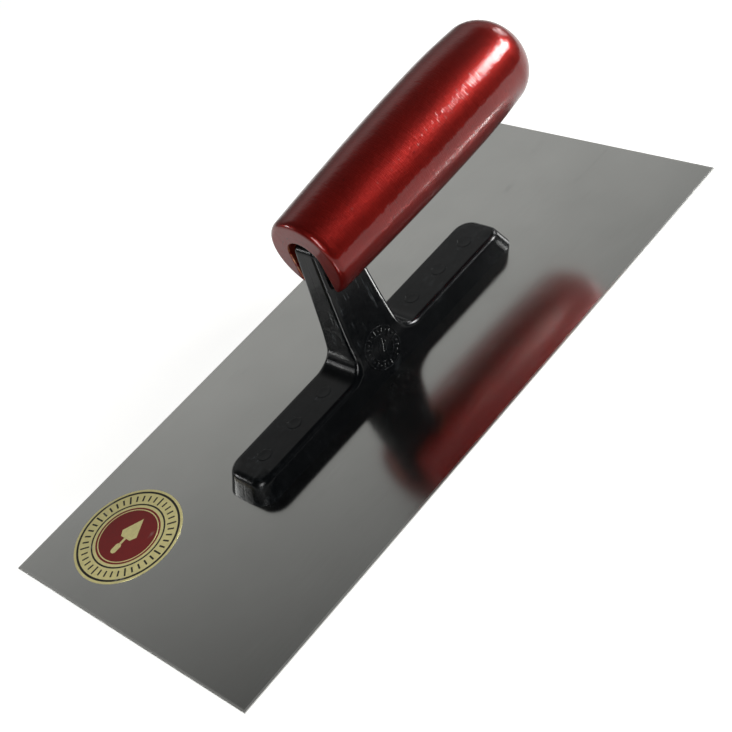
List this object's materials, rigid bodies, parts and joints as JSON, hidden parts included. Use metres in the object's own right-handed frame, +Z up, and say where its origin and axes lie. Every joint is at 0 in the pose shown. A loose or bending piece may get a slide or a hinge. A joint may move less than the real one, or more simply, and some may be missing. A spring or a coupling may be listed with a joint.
{
  "type": "steel finishing trowel",
  "caption": "Rectangular finishing trowel: thin steel blade, black moulded bracket riveted along its middle, and a red lacquered wooden handle over it.",
  "frame": {"origin": "centre of the blade's underside, the working face", "axes": "+X along the blade towards the handle's closed end, +Y across the blade, +Z up from the working face towards the handle"},
  "size_m": [0.28, 0.13, 0.0846],
  "materials": {
    "blade_steel": "fine rolled and polished spring steel, softly mirror-like",
    "bracket_nylon": "glossy black moulded nylon, lightly scuffed",
    "core_steel": "plain stamped steel",
    "rivet_steel": "steel, heads ground flush with the blade",
    "washer_steel": "plain stamped steel",
    "plug_nylon": "black moulded nylon",
    "handle_lacquer": "turned beech under a deep red glossy lacquer",
    "adhesive": "cured adhesive",
    "label_foil": "printed gold foil sticker with a dark red field and no lettering"
  },
  "bodies": {
    "root": {"blade": "blade_steel", "bracket": "bracket_nylon", "neck_core": "core_steel", "blade_rivets": "rivet_steel", "rivet_washers": "washer_steel", "rivet_plugs": "plug_nylon", "handle": "handle_lacquer", "tang_adhesive": "adhesive", "label": "label_foil"}
  },
  "joints": []
}
